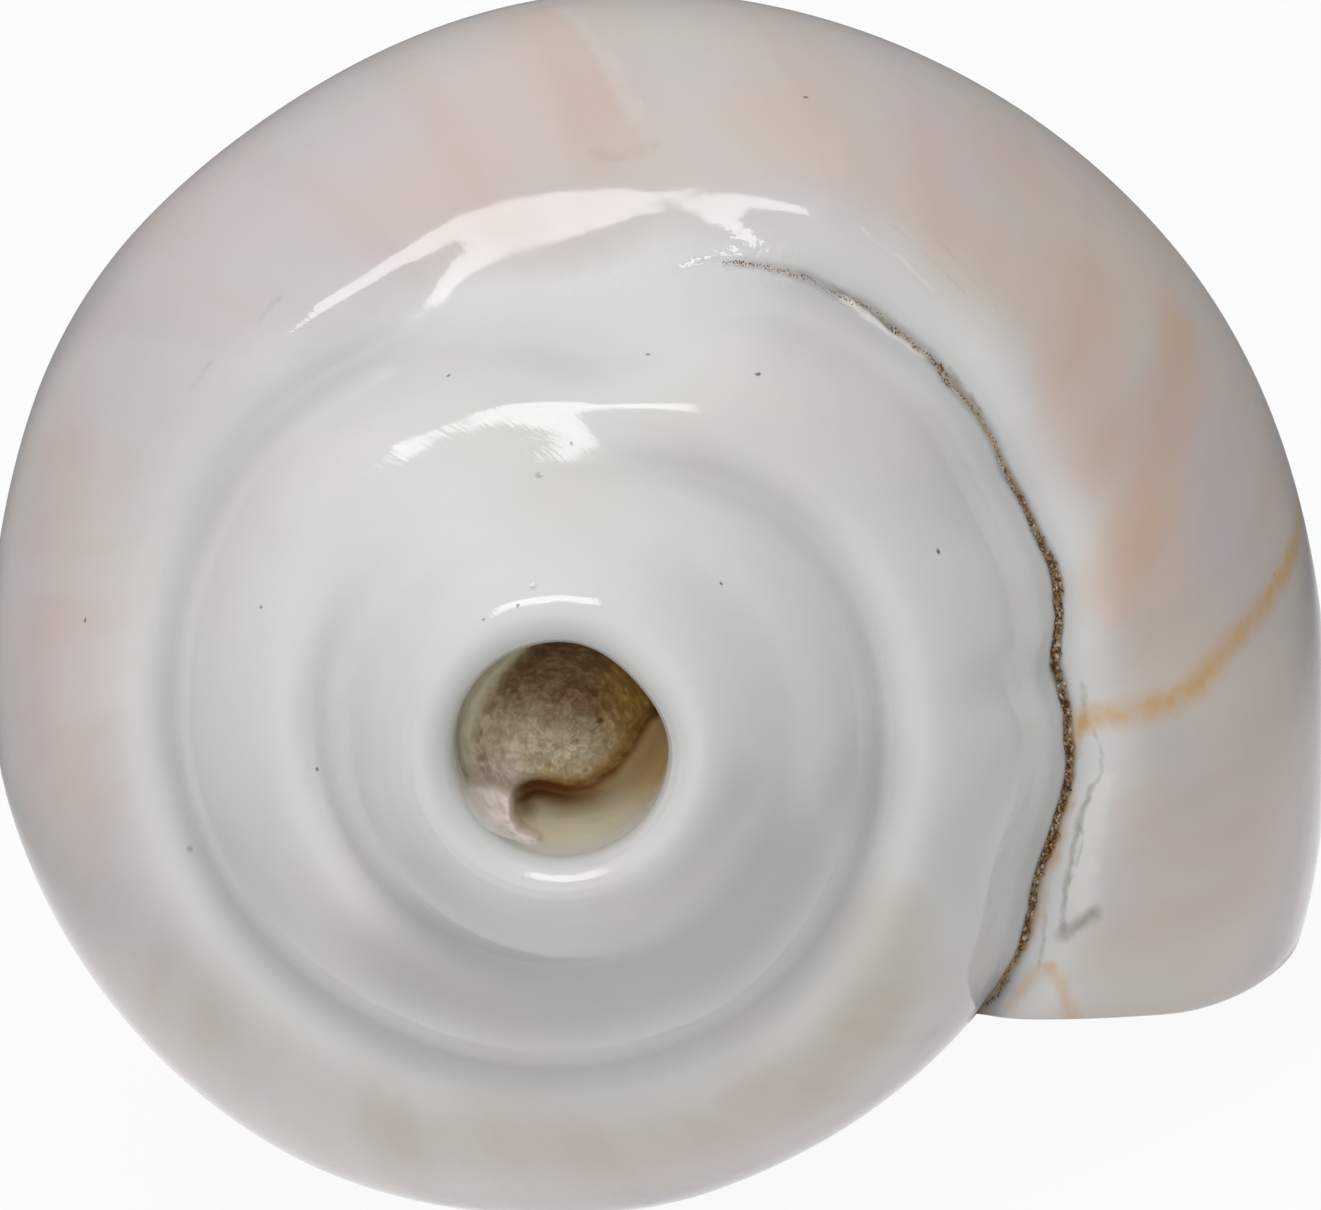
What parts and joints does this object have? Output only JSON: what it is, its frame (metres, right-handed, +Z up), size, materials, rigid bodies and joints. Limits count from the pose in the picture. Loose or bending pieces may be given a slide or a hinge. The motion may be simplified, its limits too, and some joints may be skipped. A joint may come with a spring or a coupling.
{
  "type": "blowing conch shell",
  "caption": "Large spiral sea shell, ground and polished, with its apex cut off and bored as a mouth hole so that it can be blown as a horn.",
  "frame": {"origin": "on the ground, under the centre of the shell's bounding box as it lies with its mouth down", "axes": "+Z up; +Y along the ground in the plane of the coiling axis, from the bored apex towards the canal end, with the axis itself sinking 12 degrees that way; +X towards the outer lip"},
  "size_m": [0.0816, 0.1482, 0.0705],
  "materials": {
    "polished_shell": "ground and polished aragonite, greenish white on the spire and pinkish beige on the body"
  },
  "bodies": {
    "root": {"shell": "polished_shell"}
  },
  "joints": []
}
